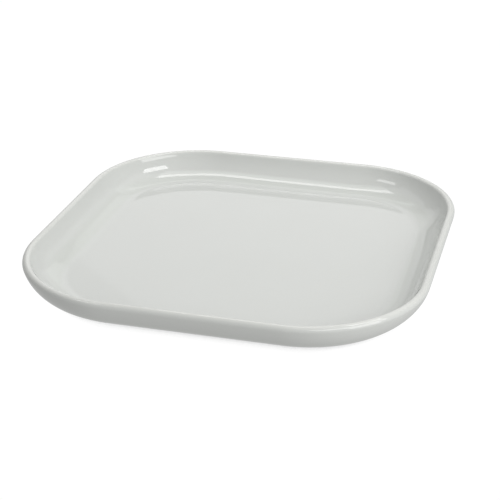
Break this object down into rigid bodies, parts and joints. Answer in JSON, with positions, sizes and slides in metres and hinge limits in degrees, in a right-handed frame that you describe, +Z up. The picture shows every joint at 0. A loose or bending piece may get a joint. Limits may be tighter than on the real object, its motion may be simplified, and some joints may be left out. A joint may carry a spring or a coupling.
{
  "type": "square serving plate",
  "caption": "Shallow square plate with round corners, a flat well, a curved wall with a thick rounded lip, and a low foot ring.",
  "frame": {"origin": "centre of the plan, on the surface that the foot ring stands on", "axes": "+Z up out of the well; X and Y along the straight sides"},
  "size_m": [0.25, 0.25, 0.0224],
  "materials": {
    "glaze": "gloss"
  },
  "bodies": {
    "root": {"plate": "glaze"}
  },
  "joints": []
}
